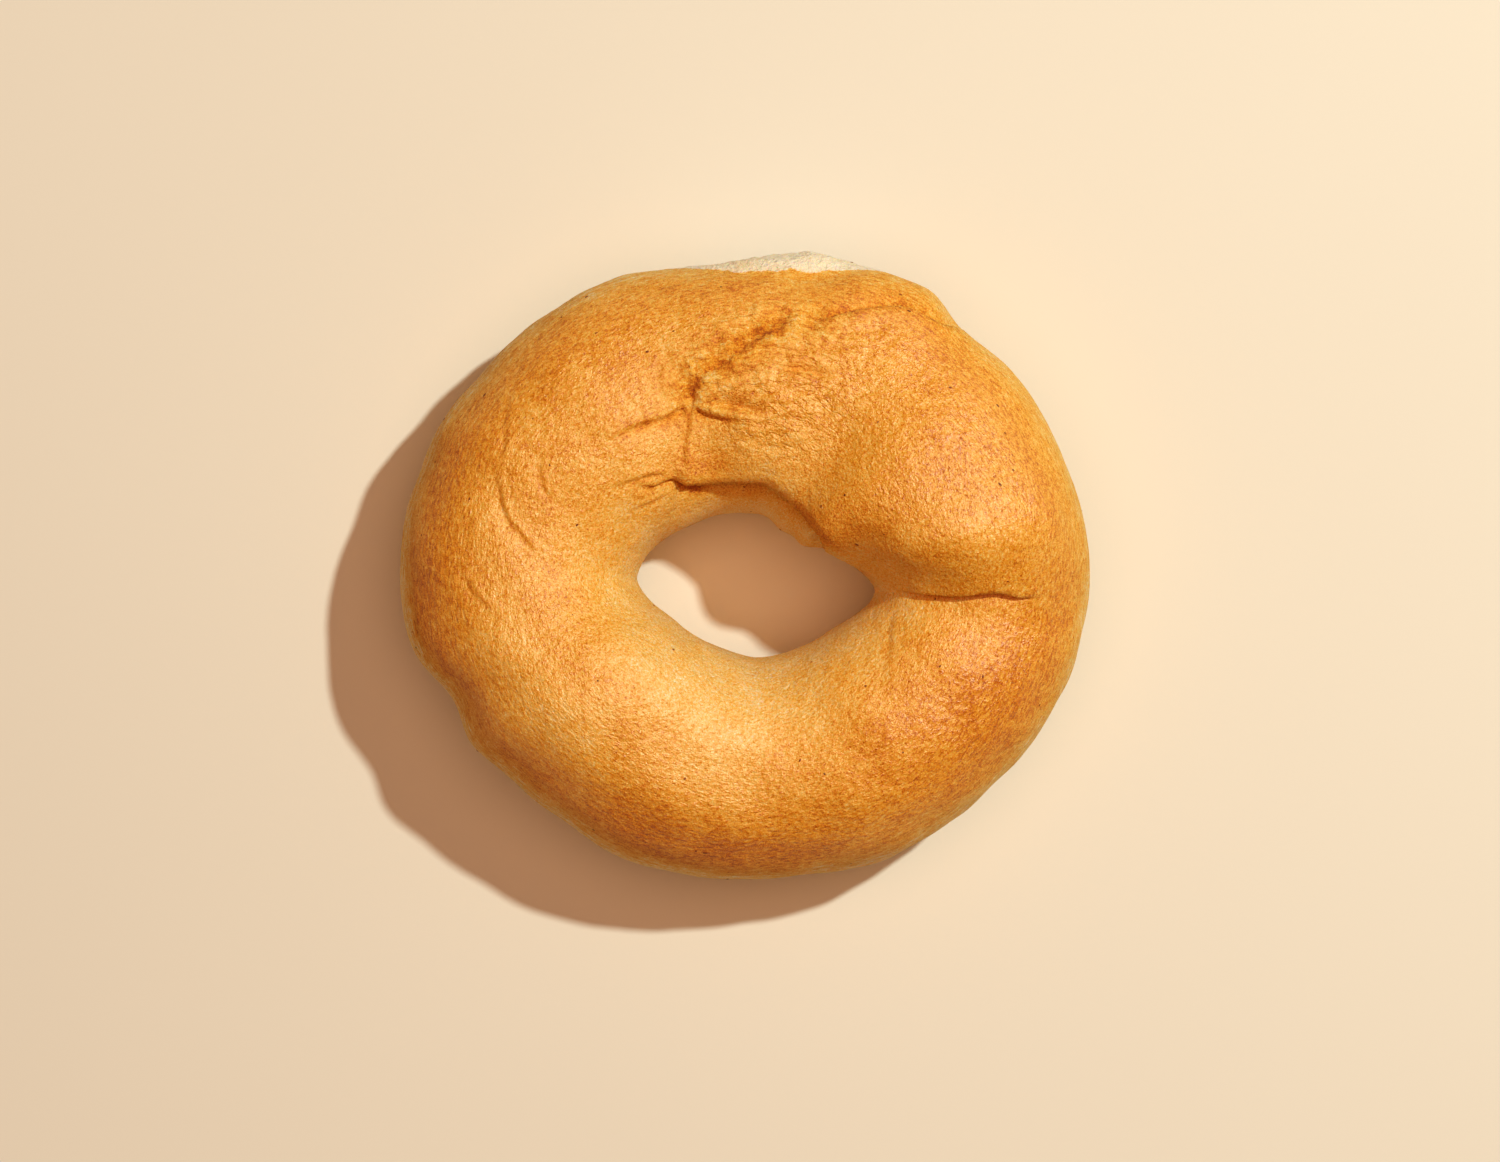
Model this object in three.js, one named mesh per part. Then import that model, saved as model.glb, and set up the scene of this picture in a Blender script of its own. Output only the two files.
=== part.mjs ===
// A plain boiled and baked bagel, as one solid ring of dough.
// The rope of dough closes into a ring at the back, where its right end laps over its left end as a
// flattened tongue. The tongue's lip hangs over the hole, a crease runs out from the hole's right corner, and
// the back wall is torn where the bagel was pulled from its neighbour.
// Millimetres, +Z up, +X along the bagel's width. The origin is the bottom centre of its box, on the table.
//
// Every place on the dough is given by two angles. `round` goes round the hole, from +X towards +Y. `about`
// goes about the dough's own section: 0 at the outer rim, 90 at the crest, 180 at the hole and 270 at the
// table.
import * as THREE from "three";
import { mergeVertices } from "three/addons/utils/BufferGeometryUtils.js";

// ---------------------------------------------------------------- driving sizes
// The two outlines in plan: superellipses with swells and hollows. A swell adds `by` round the angle `at`
// and fades over `over` degrees.
const RIM = {
  x: 0,
  y: -1.1,
  halfWidth: 54.9,
  halfDepth: 48.8,
  power: 2,
  turn: 0,
  swells: [
    { at: 20, by: -0.5, over: 14 },
    { at: 38, by: 0.7, over: 12 },
    { at: 56, by: 2.4, over: 6 },
    { at: 66, by: 3.0, over: 9 },
    { at: 84, by: 0.6, over: 7 },
    { at: 115, by: 1.8, over: 13 },
    { at: 133, by: 0.9, over: 8 },
    { at: 152, by: 0.7, over: 9 },
    { at: 172, by: 0.3, over: 8 },
    { at: 203.5, by: -2.9, over: 7 },
    { at: 220, by: -2.2, over: 9 },
    { at: 234, by: -1.8, over: 8 },
    { at: 298, by: 0.9, over: 14 },
  ],
};
const HOLE = {
  x: 1.9,
  y: -3.0,
  halfWidth: 19.0,
  halfDepth: 11.5,
  power: 1.5,
  turn: -3,
  swells: [
    { at: 12, by: -1.0, over: 8 },
    { at: 40, by: -3.0, over: 17 },
    { at: 66, by: -1.5, over: 13 },
    { at: 124, by: 1.2, over: 20 },
    { at: 158, by: 1.3, over: 17 },
    { at: 200, by: -0.4, over: 10 },
    { at: 330, by: -0.5, over: 18 },
  ],
};
// The section: the level of its widest place, the height of its crest, and how square it is above and
// below. A fullness of 2 is an ellipse and more is squarer. `sink` is the depth of round underside that lies
// flat.
const SECTION = { waist: 14.5, crest: 33.5, fullnessAbove: 2.15, fullnessBelow: 2.7, sink: 1.6 };
const CREST_SWELLS = [
  { at: 9, by: 4.0, over: 15 },
  { at: 32, by: 4.0, over: 26 },
  { at: 60, by: -1.0, over: 16 },
  { at: 112, by: -1.6, over: 16 },
  { at: 168, by: -0.9, over: 20 },
  { at: 215, by: 3.1, over: 22 },
  { at: 245, by: 0.6, over: 18 },
  { at: 278, by: -1.0, over: 22 },
  { at: 310, by: 0.7, over: 20 },
  { at: 354, by: -2.4, over: 11 },
];
const WAIST_SWELLS = [
  { at: 30, by: 3.9, over: 32 },
  { at: 215, by: 1.9, over: 25 },
  { at: 285, by: -1.0, over: 28 },
];
// How far the crest leans towards the hole, as a share of the ring's width.
const LEAN_SWELLS = [
  { at: 32, by: 0.05, over: 30 },
  { at: 225, by: 0.02, over: 40 },
];

// Where the lip of the tongue lies on the section: high on the inner shoulder, and down the hole's wall at
// its end.
const LIP_LEVEL = 135;
const LIP_SWELLS = [
  { at: 12, by: 43, over: 18 },
  { at: 55, by: 3, over: 14 },
  { at: 134, by: -8, over: 13 },
];

// Folds. A route is a list of [round, about]; the side that is lapped over and lies lower is on its right
// hand. depth, reach: how deep the lower side dives and how far it takes to come up again. edge: the width of
// the steep face. roll, rollReach: the height and width of the swollen upper side. tuck: how far it hangs
// over the lower one. fade: the shares of the route over which the fold grows at its start and dies at its
// end.
const FOLDS = [
  {
    name: "lip over the hole",
    route: alongLip(129, 18),
    depth: 2.0,
    reach: 3.6,
    edge: 0.6,
    roll: 0.4,
    rollReach: 3,
    tuck: 1.0,
    fade: [0.08, 0.2],
  },
  {
    name: "thick right part of the lip",
    route: alongLip(98, 18),
    depth: 3.6,
    reach: 4.5,
    edge: 0.7,
    roll: 0.5,
    rollReach: 3.5,
    tuck: 1.2,
    fade: [0.6, 0.2],
  },
  {
    name: "crease where the lip begins",
    route: [[142.6, 118], [139.6, 123], [136.3, 127], [131, 128], [125, 130]],
    depth: 0.9,
    reach: 1.6,
    edge: 0.8,
    roll: 0.2,
    rollReach: 1.6,
    tuck: 0.2,
    fade: [0.5, 0.1],
  },
  {
    name: "crease from the hole's right corner",
    route: [
      [357.5, 149], [356.7, 136], [355.5, 117], [355.3, 106],
      [356.3, 92], [356.6, 82], [355.5, 70], [356.2, 58],
    ],
    depth: 1.9,
    reach: 2,
    edge: 0.8,
    roll: 0.7,
    rollReach: 2.6,
    tuck: 0.7,
    fade: [0.3, 0.25],
  },
  {
    name: "upper edge of the tongue",
    route: [
      [48.5, -5], [49.3, 15], [51.4, 29], [54.3, 36], [59.3, 40],
      [63.6, 45], [68.8, 51], [74.3, 56], [78.4, 58],
    ],
    depth: 1.9,
    reach: 1.8,
    edge: 0.7,
    roll: 0.7,
    rollReach: 2.2,
    tuck: 0.5,
    fade: [0.3, 0.3],
  },
  {
    name: "end of the tongue",
    route: [
      [78, 58], [85, 64], [91, 71], [98, 79], [104, 84],
      [107.5, 91], [109.8, 99], [113.6, 108], [118, 116], [123, 126],
    ],
    depth: 0.9,
    reach: 2.2,
    edge: 1.2,
    roll: 0.2,
    rollReach: 3,
    tuck: 0,
    fade: [0.2, 0.1],
  },
  {
    name: "wrinkle left of the tongue",
    route: [[139, 96], [134.8, 97], [126.4, 99], [118.5, 101], [110.2, 98]],
    depth: 1.0,
    reach: 1.4,
    edge: 1.1,
    roll: 0.25,
    rollReach: 1.8,
    tuck: 0,
    fade: [0.5, 0.15],
  },
  {
    name: "wrinkle by the tongue's left edge",
    route: [[108.8, 98], [106.6, 103], [99.8, 106], [93, 107]],
    depth: 0.8,
    reach: 1.3,
    edge: 1.0,
    roll: 0.2,
    rollReach: 1.4,
    tuck: 0,
    fade: [0.2, 0.5],
  },
  {
    name: "wrinkle across the tongue",
    route: [[82, 101], [86, 102], [95.6, 100], [102.8, 98], [106.1, 96]],
    depth: 0.8,
    reach: 1.3,
    edge: 1.0,
    roll: 0.2,
    rollReach: 1.6,
    tuck: 0,
    fade: [0.4, 0.3],
  },
  {
    name: "wrinkle on the tongue's crest",
    route: [[67, 82], [71.7, 81], [79, 81], [84.5, 85]],
    depth: 0.6,
    reach: 1.2,
    edge: 1.0,
    roll: 0.2,
    rollReach: 1.6,
    tuck: 0,
    fade: [0.4, 0.4],
  },
  {
    name: "fold along the left rim",
    route: [[182, 30], [190, 28], [194.4, 26], [198.7, 23], [201.8, 16], [203.5, 4]],
    depth: 0.6,
    reach: 1.6,
    edge: 1.2,
    roll: 0.3,
    rollReach: 1.6,
    tuck: 0,
    fade: [0.4, 0.3],
  },
  {
    name: "crease on the left shoulder",
    route: [[156.8, 69], [162.8, 75], [165.6, 80], [169.9, 95], [175.7, 106]],
    depth: 0.5,
    reach: 1.3,
    edge: 1.0,
    roll: 0.2,
    rollReach: 1.4,
    tuck: 0,
    fade: [0.3, 0.4],
  },
];

// The scar where the tongue's end was pressed down: a band of crags that follows a route.
const SCAR = {
  route: [[76, 56], [85, 64], [91, 71], [98, 79], [104, 84], [107.5, 91]],
  halfWidth: 5,
  crag: 0.6,
};

// The torn patch on the back wall: bare crumb that stands out where the neighbour was pulled away.
const TEAR = {
  round: 84,
  halfSpan: 24,
  about: -4,
  halfRise: 36,
  ragged: 0.35,
  swells: [
    { at: 77, by: 1.9, over: 6.5 },
    { at: 89, by: 0.9, over: 12 },
  ],
};

// The gentle unevenness of hand-shaped dough, and the length of its waves.
const LUMPS = { height: 0.3, wave: 24 };

// How finely the ring and its section are divided, and where the divisions crowd together. The section's
// are counted from the lip, so that one line of the net follows it.
const STATIONS = 114;
const SECTION_POINTS = 52;
const CROWD_ROUND = [
  { at: 20, by: 0.6, over: 12 },
  { at: 52, by: 1.0, over: 8 },
  { at: 95, by: 0.7, over: 35 },
  { at: 204, by: 0.8, over: 8 },
  { at: 356, by: 1.8, over: 6 },
];
const CROWD_SECTION = [
  { at: 0, by: 3, over: 12 },
  { at: 130, by: -0.45, over: 40 },
];

// ---------------------------------------------------------------- the ring's shape
// How far an angle lies past another, between -180 and 180.
function past(angle, from) {
  return THREE.MathUtils.euclideanModulo(angle - from + 180, 360) - 180;
}

function swellAt(angle, swells) {
  let sum = 0;
  for (const { at, by, over } of swells) {
    sum += by * Math.exp(-((past(angle, at) / over) ** 2));
  }
  return sum;
}

function lipAt(round) {
  return LIP_LEVEL + swellAt(round, LIP_SWELLS);
}

// A route along the lip, from one angle round the hole to another.
function alongLip(from, to) {
  const route = [];
  for (let round = from; round > to; round -= 3) route.push([round, lipAt(round)]);
  route.push([to, lipAt(to)]);
  return route;
}

function outlinePoint(outline, round) {
  const turned = THREE.MathUtils.degToRad(round - outline.turn);
  const alongWidth = Math.abs(Math.cos(turned)) / outline.halfWidth;
  const alongDepth = Math.abs(Math.sin(turned)) / outline.halfDepth;
  const even = (alongWidth ** outline.power + alongDepth ** outline.power) ** (-1 / outline.power);
  const radius = even + swellAt(round, outline.swells);
  const angle = THREE.MathUtils.degToRad(round);
  return new THREE.Vector2(outline.x + radius * Math.cos(angle), outline.y + radius * Math.sin(angle));
}

// A point on the dough before it is folded.
function doughPoint(round, about) {
  const crest = SECTION.crest + swellAt(round, CREST_SWELLS);
  const waist = SECTION.waist + swellAt(round, WAIST_SWELLS);
  const c = Math.cos(THREE.MathUtils.degToRad(about));
  const s = Math.sin(THREE.MathUtils.degToRad(about));
  const power = s >= 0 ? SECTION.fullnessAbove : SECTION.fullnessBelow;
  const reach = (Math.abs(c) ** power + Math.abs(s) ** power) ** (-1 / power);
  const outward = reach * c;
  const upward = reach * s;
  const height = waist + upward * (s >= 0 ? crest - waist : waist + SECTION.sink);
  const lean = swellAt(round, LEAN_SWELLS) * (1 - outward ** 2) * Math.max(0, upward);
  const place = outlinePoint(HOLE, round).lerp(outlinePoint(RIM, round), 0.5 + 0.5 * outward - lean);
  return new THREE.Vector3(place.x, place.y, Math.max(0, height));
}

function doughNormal(round, about) {
  const step = 0.1;
  const roundwards = doughPoint(round + step, about).sub(doughPoint(round - step, about));
  const aboutwards = doughPoint(round, about + step).sub(doughPoint(round, about - step));
  return roundwards.cross(aboutwards).normalize();
}

// ---------------------------------------------------------------- folds and the torn patch
function laidRoute(route) {
  const curve = new THREE.CatmullRomCurve3(route.map(([round, about]) => doughPoint(round, about)));
  return curve.getSpacedPoints(Math.ceil(curve.getLength() / 0.4));
}

function nearestOn(points, point) {
  let nearest = 0;
  points.forEach((candidate, i) => {
    if (candidate.distanceToSquared(point) < points[nearest].distanceToSquared(point)) nearest = i;
  });
  return nearest;
}

// How far a fold moves a point of the dough.
function foldMove(fold, points, point, normal) {
  const nearest = nearestOn(points, point);
  const before = points[Math.max(0, nearest - 1)];
  const after = points[Math.min(points.length - 1, nearest + 1)];
  const side = after.clone().sub(before).cross(normal).normalize();
  const offset = point.clone().sub(points[nearest]);
  const away = offset.length();
  const share = nearest / (points.length - 1);
  const grown = THREE.MathUtils.smoothstep(share, 0, fold.fade[0]);
  const left = THREE.MathUtils.smoothstep(1 - share, 0, fold.fade[1]);
  const strength = grown * left;
  let lift = -fold.depth * Math.exp(-away / fold.reach);
  let tuck = fold.tuck * Math.exp(-1 - away / fold.edge);
  if (offset.dot(side) <= 0) {
    const roll = (1 - Math.exp(-away / fold.edge)) * Math.exp(-((away / fold.rollReach) ** 2));
    lift = fold.roll * roll - fold.depth * Math.exp(-away / fold.edge);
    tuck = fold.tuck * Math.exp(-((away / fold.edge - 1) ** 2));
  }
  return normal.clone().multiplyScalar(strength * lift).addScaledVector(side, strength * tuck);
}

// Bumps and pits of no particular order, between -1 and 1, with the given length of wave.
function unevenness(point, wave) {
  const k = (2 * Math.PI) / wave;
  const a = Math.sin(k * (point.x + 0.4 * point.y) + 1) * Math.sin(k * (point.y - 0.3 * point.z) + 2);
  const b = Math.sin(1.7 * k * (point.z - 0.5 * point.x)) * Math.sin(1.6 * k * (point.x + point.y));
  return 0.6 * a + 0.4 * b;
}

function scarLift(point) {
  const away = scarPoints[nearestOn(scarPoints, point)].distanceTo(point);
  return SCAR.crag * Math.exp(-((away / SCAR.halfWidth) ** 2)) * unevenness(point, 7);
}

// How far the crumb of the torn patch stands out.
function tearOut(point, round, about) {
  const sideways = past(round, TEAR.round) / TEAR.halfSpan;
  const upward = past(about, TEAR.about) / TEAR.halfRise;
  const bare = 1 - THREE.MathUtils.smoothstep(Math.hypot(sideways, upward), 0.6, 1);
  return bare * (swellAt(round, TEAR.swells) + TEAR.ragged * unevenness(point, 6));
}

const laidFolds = FOLDS.map((fold) => ({ fold, points: laidRoute(fold.route) }));
const scarPoints = laidRoute(SCAR.route);

function bagelPoint(round, about) {
  const plain = doughPoint(round, about);
  if (plain.z === 0) return plain;
  const normal = doughNormal(round, about);
  const moved = plain.clone();
  for (const { fold, points } of laidFolds) moved.add(foldMove(fold, points, plain, normal));
  const lump = LUMPS.height * unevenness(plain, LUMPS.wave);
  moved.addScaledVector(normal, lump + scarLift(plain) + tearOut(plain, round, about));
  moved.z = Math.max(0, moved.z);
  return moved;
}

// ---------------------------------------------------------------- the solid
// Angles that divide a full turn, crowded where the swells say.
function crowdedAngles(count, crowds) {
  const slices = 3600;
  const sums = [0];
  for (let i = 0; i < slices; i++) sums.push(sums[i] + 1 + swellAt(((i + 0.5) / slices) * 360, crowds));
  const angles = [];
  let i = 0;
  for (let k = 0; k < count; k++) {
    const wanted = (k / count) * sums[slices];
    while (sums[i + 1] <= wanted) i++;
    angles.push(((i + (wanted - sums[i]) / (sums[i + 1] - sums[i])) / slices) * 360);
  }
  return angles;
}

const rounds = crowdedAngles(STATIONS, CROWD_ROUND);
const fromLip = crowdedAngles(SECTION_POINTS, CROWD_SECTION);

// A torus lends its closed net of triangles, and each of its vertices goes to its place on the bagel.
const torus = new THREE.TorusGeometry(1, 0.5, SECTION_POINTS, STATIONS);
const position = torus.attributes.position;
for (let j = 0; j <= SECTION_POINTS; j++) {
  for (let i = 0; i <= STATIONS; i++) {
    const round = rounds[i % STATIONS];
    const place = bagelPoint(round, lipAt(round) + fromLip[j % SECTION_POINTS]);
    position.setXYZ(j * (STATIONS + 1) + i, place.x, place.y, place.z);
  }
}
torus.deleteAttribute("normal");
torus.deleteAttribute("uv");
const bagelGeometry = mergeVertices(torus, 1e-4);
bagelGeometry.computeBoundingBox();
const middle = bagelGeometry.boundingBox.getCenter(new THREE.Vector3());
bagelGeometry.translate(-middle.x, -middle.y, 0);
bagelGeometry.computeVertexNormals();

const crust = new THREE.MeshStandardMaterial({ color: 0xd08a3c, roughness: 0.5, metalness: 0 });
const bagel = new THREE.Mesh(bagelGeometry, crust);
bagel.name = "bagel";

const group = new THREE.Group();
group.add(bagel);
export default group;
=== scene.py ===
# %% [markdown]
# # A plain bagel
#
# A bagel is a rope of dough closed into a ring, boiled and baked. Its look is three things: an uneven ring, the
# folds where the rope's ends were lapped and pressed together, and a thin glossy crust that is brown where it stood
# high in the oven and golden where it lay low. We make them in that order: the ring, the folds, then the crust.
#
# The solid model of the same bagel comes first. It fixes the size and the place of everything below.

# %% Load the frame
import math

import bpy
import numpy as np
from mathutils import Matrix, Vector


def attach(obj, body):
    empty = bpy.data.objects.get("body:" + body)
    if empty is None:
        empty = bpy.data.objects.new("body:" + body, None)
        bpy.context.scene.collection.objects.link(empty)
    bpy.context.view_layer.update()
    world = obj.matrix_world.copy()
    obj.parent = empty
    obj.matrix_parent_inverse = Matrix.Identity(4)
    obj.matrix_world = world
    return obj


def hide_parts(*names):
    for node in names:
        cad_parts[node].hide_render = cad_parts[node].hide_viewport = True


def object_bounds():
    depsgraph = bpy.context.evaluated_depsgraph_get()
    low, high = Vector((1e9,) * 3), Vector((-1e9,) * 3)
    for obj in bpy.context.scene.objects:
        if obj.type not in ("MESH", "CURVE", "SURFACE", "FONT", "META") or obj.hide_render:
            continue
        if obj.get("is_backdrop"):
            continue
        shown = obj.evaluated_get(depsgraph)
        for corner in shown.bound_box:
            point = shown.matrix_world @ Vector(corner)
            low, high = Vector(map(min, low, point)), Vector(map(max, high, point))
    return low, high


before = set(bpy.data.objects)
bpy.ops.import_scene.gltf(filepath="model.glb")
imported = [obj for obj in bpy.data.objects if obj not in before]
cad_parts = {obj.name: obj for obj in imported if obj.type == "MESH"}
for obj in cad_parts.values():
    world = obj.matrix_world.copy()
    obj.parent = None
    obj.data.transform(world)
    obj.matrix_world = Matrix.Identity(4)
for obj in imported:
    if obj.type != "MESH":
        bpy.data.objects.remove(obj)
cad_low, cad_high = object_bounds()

MM = 0.001
print("solid model, in mm:", [round(side / MM, 1) for side in cad_high - cad_low])

# %% [markdown]
# ## Formulas as nodes
#
# The ring follows a rule, so Geometry Nodes make it. A formula of thirty nodes is hard to read when each node is a
# line of its own. `Field` holds one output of a node and answers to + - * / and **, and each of those adds a Math
# node. The tree is the same as one drawn by hand, but the script reads like the formula.


# %% Fields: node outputs that can be added and multiplied
class Field:
    """One output of a node, a number or a vector, that can be used in a formula."""

    def __init__(self, tree, socket):
        self.tree, self.socket = tree, socket

    def is_vector(self):
        return self.socket.type in ("VECTOR", "RGBA")

    def __add__(self, other):
        return maths(self.tree, "ADD", self, other)

    def __radd__(self, other):
        return maths(self.tree, "ADD", other, self)

    def __sub__(self, other):
        return maths(self.tree, "SUBTRACT", self, other)

    def __rsub__(self, other):
        return maths(self.tree, "SUBTRACT", other, self)

    def __mul__(self, other):
        return maths(self.tree, "MULTIPLY", self, other)

    def __rmul__(self, other):
        return maths(self.tree, "MULTIPLY", self, other)

    def __truediv__(self, other):
        return maths(self.tree, "DIVIDE", self, other)

    def __rtruediv__(self, other):
        return maths(self.tree, "DIVIDE", other, self)

    def __pow__(self, other):
        return maths(self.tree, "POWER", self, other)

    def __neg__(self):
        return self * -1.0


def feed(tree, socket, value):
    """Links a field to a socket, or sets the socket's own value."""
    if isinstance(value, Field):
        tree.links.new(value.socket, socket)
    else:
        socket.default_value = value


def add_node(tree, kind, feeds=(), out=0, **settings):
    """Adds a node, sets its properties, feeds its sockets by name or number, and gives back one output."""
    node = tree.nodes.new(kind)
    for name, value in settings.items():
        setattr(node, name, value)
    for key, value in dict(feeds).items():
        feed(tree, node.inputs[key], value)
    return Field(tree, node.outputs[out]) if node.outputs else node


def maths(tree, operation, *values):
    """A Math node, or a Vector Math node where a value is a vector."""
    vectors = [isinstance(value, Field) and value.is_vector() for value in values]
    if not any(vectors):
        return add_node(tree, "ShaderNodeMath", enumerate(values), operation=operation)
    if operation == "MULTIPLY" and not all(vectors):
        vector, number = values if vectors[0] else values[::-1]
        return add_node(tree, "ShaderNodeVectorMath", {0: vector, "Scale": number}, operation="SCALE")
    out = "Value" if operation in ("DOT_PRODUCT", "LENGTH") else "Vector"
    return add_node(tree, "ShaderNodeVectorMath", enumerate(values), out, operation=operation)


def apply(operation, *values):
    """A function of fields, such as apply("COSINE", angle)."""
    tree = next(value.tree for value in values if isinstance(value, Field))
    return maths(tree, operation, *values)


def smooth(value, low, high):
    """0 below low, 1 above high, and an S-shaped rise between them."""
    feeds = {"Value": value, "From Min": low, "From Max": high}
    return add_node(value.tree, "ShaderNodeMapRange", feeds, interpolation_type="SMOOTHSTEP")


def falloff(share):
    """1 at 0, then falling off quickly and flattening out."""
    return apply("EXPONENT", -share)


def bell(share):
    """1 at 0, falling off on both sides as a bell curve does."""
    return falloff(share * share)


def angle_past(angle, at, over):
    """How far an angle is past a place, the short way round, counted in widths."""
    return apply("WRAP", angle - at, 180.0, -180.0) / over


def oval_patch(sideways, upwards, core):
    """1 in the core of an oval patch, falling to 0 at its edge."""
    return 1.0 - smooth(apply("SQRT", sideways * sideways + upwards * upwards), core, 1.0)


def total(start, *effects):
    """A start, plus each effect times its amount."""
    for effect, amount in effects:
        start = start + effect * amount
    return start


def combine(tree, x, y, z):
    return add_node(tree, "ShaderNodeCombineXYZ", enumerate((x, y, z)))


def separate(vector):
    node = add_node(vector.tree, "ShaderNodeSeparateXYZ", {0: vector}).socket.node
    return [Field(vector.tree, out) for out in node.outputs]


def noise(place, per_mm, detail=2.0, roughness=0.5, stretch=None):
    """Soft random values from 0 to 1 at a place in mm. stretch draws the pattern out along an axis."""
    if stretch:
        place = add_node(place.tree, "ShaderNodeVectorMath", {0: place, 1: stretch}, "Vector", operation="MULTIPLY")
    feeds = {"Vector": place, "Scale": per_mm, "Detail": detail, "Roughness": roughness}
    return add_node(place.tree, "ShaderNodeTexNoise", feeds, 0)


# %% Node groups with named inputs
def new_group(name, kind, inputs, outputs):
    """A node group. inputs and outputs map a socket's name to its default, or to the word for its kind."""
    tree = bpy.data.node_groups.new(name, kind)
    for in_out, sockets in (("INPUT", inputs), ("OUTPUT", outputs)):
        for socket_name, default in sockets.items():
            word = default if isinstance(default, str) else "Vector" if isinstance(default, tuple) else "Float"
            socket = tree.interface.new_socket(socket_name, in_out=in_out, socket_type="NodeSocket" + word)
            if default != word and in_out == "INPUT":
                socket.default_value = default
    entry, end = tree.nodes.new("NodeGroupInput"), tree.nodes.new("NodeGroupOutput")
    given = {socket_name: Field(tree, entry.outputs[socket_name]) for socket_name in inputs}
    return tree, given, end.inputs


def use_group(tree, group, feeds):
    """Places a group in a tree and gives back its outputs by name."""
    node = tree.nodes.new(group.bl_idname.replace("NodeTree", "NodeGroup"))
    node.node_tree = group
    for key, value in feeds.items():
        feed(tree, node.inputs[key], value)
    return {out.name: Field(tree, out) for out in node.outputs}


# %% [markdown]
# ## The ring of dough
#
# We think of the dough's skin as a chart, 360 degrees wide and 360 degrees tall. `round` runs along the chart's
# width: it goes round the hole, from +X towards +Y. `about` runs up its height, about the dough's own section: 0 at
# the outer rim, 90 at the crest, 180 at the hole and 270 on the table. A fold is then a line drawn on the chart, and
# wrapping up the chart puts net and line in the same place.
#
# Hand-shaped dough is never even. Each outline is a smooth superellipse plus a few swells, and a swell is a bell
# curve with a place, a height and a width. The same swells raise and lower the crest.

# %% Sizes of the ring, in millimetres and degrees
RIM_SWELLS = [  # (at this angle, by this height, over this width)
    (20, -0.5, 14), (38, 0.7, 12), (56, 2.4, 6), (66, 3.0, 9), (84, 0.6, 7), (115, 1.8, 13), (133, 0.9, 8),
    (152, 0.7, 9), (172, 0.3, 8), (203.5, -2.9, 7), (220, -2.2, 9), (234, -1.8, 8), (298, 0.9, 14),
]
HOLE_SWELLS = [
    (12, -1.0, 8), (40, -3.0, 17), (66, -1.5, 13), (124, 1.2, 20), (158, 1.3, 17), (200, -0.4, 10), (330, -0.5, 18),
]
CREST_SWELLS = [
    (9, 4.0, 15), (32, 4.0, 26), (60, -1.0, 16), (112, -1.6, 16), (168, -0.9, 20), (215, 3.1, 22), (245, 0.6, 18),
    (278, -1.0, 22), (310, 0.7, 20), (354, -2.4, 11),
]
WAIST_SWELLS = [(30, 3.9, 32), (215, 1.9, 25), (285, -1.0, 28)]
LEAN_SWELLS = [(32, 0.05, 30), (225, 0.02, 40)]
LIP_LEVEL = 135  # how high about the section the lip runs
LIP_SWELLS = [(12, 43, 18), (55, 3, 14), (134, -8, 13)]
RIM_CENTRE = (0.0, -1.1 * MM, 0.0)
HOLE_CENTRE = (1.9 * MM, -3.0 * MM, 0.0)
HOLE_POWER, HOLE_TURN = 1.5, -3.0  # below 2 the corners are pointed; the turn is in degrees

DOUGH_SIZES = {
    "Rim Half Width": 54.9 * MM,
    "Rim Half Depth": 48.8 * MM,
    "Hole Half Width": 19.0 * MM,
    "Hole Half Depth": 11.5 * MM,
    "Waist": 14.5 * MM,
    "Crest": 33.5 * MM,
    "Sink": 1.6 * MM,
    "Fullness Above": 2.15,
    "Fullness Below": 2.7,
}

# %% A swell, and an outline with swells
swell_group, given, out = new_group(
    "Swell", "GeometryNodeTree", {"Angle": 0.0, "At": 0.0, "By": 1.0, "Over": 10.0}, {"Height": 0.0}
)
past = angle_past(given["Angle"], given["At"], given["Over"])
feed(swell_group, out["Height"], given["By"] * bell(past))


def swells(angle, places, unit=MM):
    """The sum of several swells at an angle."""
    height = 0.0
    for at, by, over in places:
        feeds = {"Angle": angle, "At": at, "By": by * unit, "Over": over}
        height = use_group(angle.tree, swell_group, feeds)["Height"] + height
    return height


outline_group, given, out = new_group(
    "Outline",
    "GeometryNodeTree",
    {
        "Round": 0.0,
        "Half Width": 0.05,
        "Half Depth": 0.05,
        "Power": 2.0,
        "Turn": 0.0,
        "Swell": 0.0,
        "Centre": (0.0, 0.0, 0.0),
    },
    {"Place": "Vector"},
)
turned = apply("RADIANS", given["Round"] - given["Turn"])
across_width = apply("ABSOLUTE", apply("COSINE", turned)) / given["Half Width"]
across_depth = apply("ABSOLUTE", apply("SINE", turned)) / given["Half Depth"]
power = given["Power"]
radius = (across_width**power + across_depth**power) ** (-1.0 / power) + given["Swell"]
angle = apply("RADIANS", given["Round"])
place = combine(outline_group, radius * apply("COSINE", angle), radius * apply("SINE", angle), 0.0)
feed(outline_group, out["Place"], place + given["Centre"])

# %% [markdown]
# ### One point on the dough
#
# This group is the whole ring in one formula. It goes from the hole's edge to the rim at the same angle, and lifts
# the point by a squarish ellipse: full and round above, squarer below. What would sink under the table is held at
# its height, which gives the flat base that every baked bagel has.

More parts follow.
